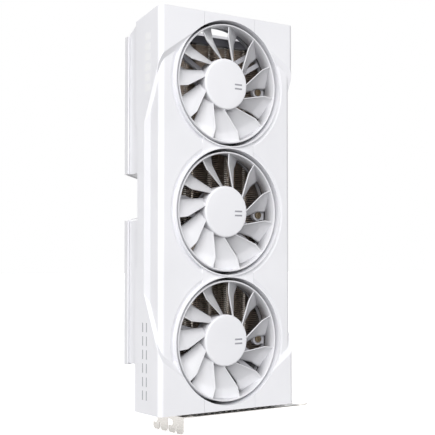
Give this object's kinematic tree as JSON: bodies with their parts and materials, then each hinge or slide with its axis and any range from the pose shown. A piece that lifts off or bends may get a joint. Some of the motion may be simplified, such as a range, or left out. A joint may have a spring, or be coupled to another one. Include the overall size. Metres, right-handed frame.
{
  "type": "graphics card",
  "caption": "Triple-fan graphics card with white cover, finned cooler with heat pipes, circuit board, backplate and two-slot I/O bracket.",
  "frame": {"origin": "centre of the I/O bracket's outer face", "axes": "+Z along the card's length away from the bracket, +X towards the edge connector, +Y from the fans to the backplate"},
  "size_m": [0.1446, 0.0486, 0.2984],
  "materials": {
    "board": "black solder mask",
    "bracket_steel": "brushed, bright",
    "brass_screw": "browned brass",
    "can": "drawn can",
    "chip_black": "moulded epoxy",
    "copper": "enamelled copper",
    "dark_aluminium": "dark anodised",
    "dark_plastic": "black moulded",
    "ferrite_grey": "pressed ferrite",
    "fin_aluminium": "bare rolled sheet",
    "gold": "gold flash",
    "grey_plastic": "grey moulded",
    "magnet": "sintered ferrite",
    "nickel": "nickel-plated, satin",
    "package": "green laminate",
    "pad": "soft silicone",
    "screw_steel": "zinc-plated",
    "silicon": "polished",
    "steel": "turned steel",
    "white_metal": "powder-coated white",
    "white_plastic": "moulded satin white"
  },
  "bodies": {
    "card": {"fan_cover": "white_plastic", "fan_frame_1": "grey_plastic", "stator_1": "copper", "bearing_1": "gold", "fan_frame_2": "grey_plastic", "stator_2": "copper", "bearing_2": "gold", "fan_frame_3": "grey_plastic", "stator_3": "copper", "bearing_3": "gold", "fan_screws": "brass_screw", "fin_stack": "fin_aluminium", "fin_end_top": "dark_aluminium", "fin_end_low": "dark_aluminium", "heat_pipes": "nickel", "cold_plate": "nickel", "mid_plate": "dark_aluminium", "circuit_board": "board", "edge_contacts": "gold", "processor_package": "package", "processor_die": "silicon", "memory_chips": "chip_black", "thermal_pads": "pad", "inductors": "ferrite_grey", "capacitors": "can", "power_socket": "dark_plastic", "power_pins": "gold", "io_bracket": "bracket_steel", "bracket_lugs": "bracket_steel", "bracket_screws": "screw_steel", "display_port_1": "nickel", "display_port_2": "nickel", "display_port_3": "nickel", "video_port": "nickel", "backplate": "white_metal", "rear_frame": "white_plastic", "back_screws": "screw_steel", "clamp_spring": "steel", "clamp_screws": "screw_steel"},
    "fan_1": {"rotor_1": "white_plastic", "rotor_shaft_1": "steel", "rotor_magnet_1": "magnet"},
    "fan_2": {"rotor_2": "white_plastic", "rotor_shaft_2": "steel", "rotor_magnet_2": "magnet"},
    "fan_3": {"rotor_3": "white_plastic", "rotor_shaft_3": "steel", "rotor_magnet_3": "magnet"}
  },
  "joints": [
    {"name": "fan_1_spin", "type": "hinge", "parent": "card", "child": "fan_1", "pos_m": [0.0014, -0.02, 0.23755], "axis": [0, 1, 0], "continuous": true},
    {"name": "fan_2_spin", "type": "hinge", "parent": "card", "child": "fan_2", "pos_m": [0.0014, -0.02, 0.1452], "axis": [0, 1, 0], "continuous": true},
    {"name": "fan_3_spin", "type": "hinge", "parent": "card", "child": "fan_3", "pos_m": [0.0014, -0.02, 0.05285], "axis": [0, 1, 0], "continuous": true}
  ]
}
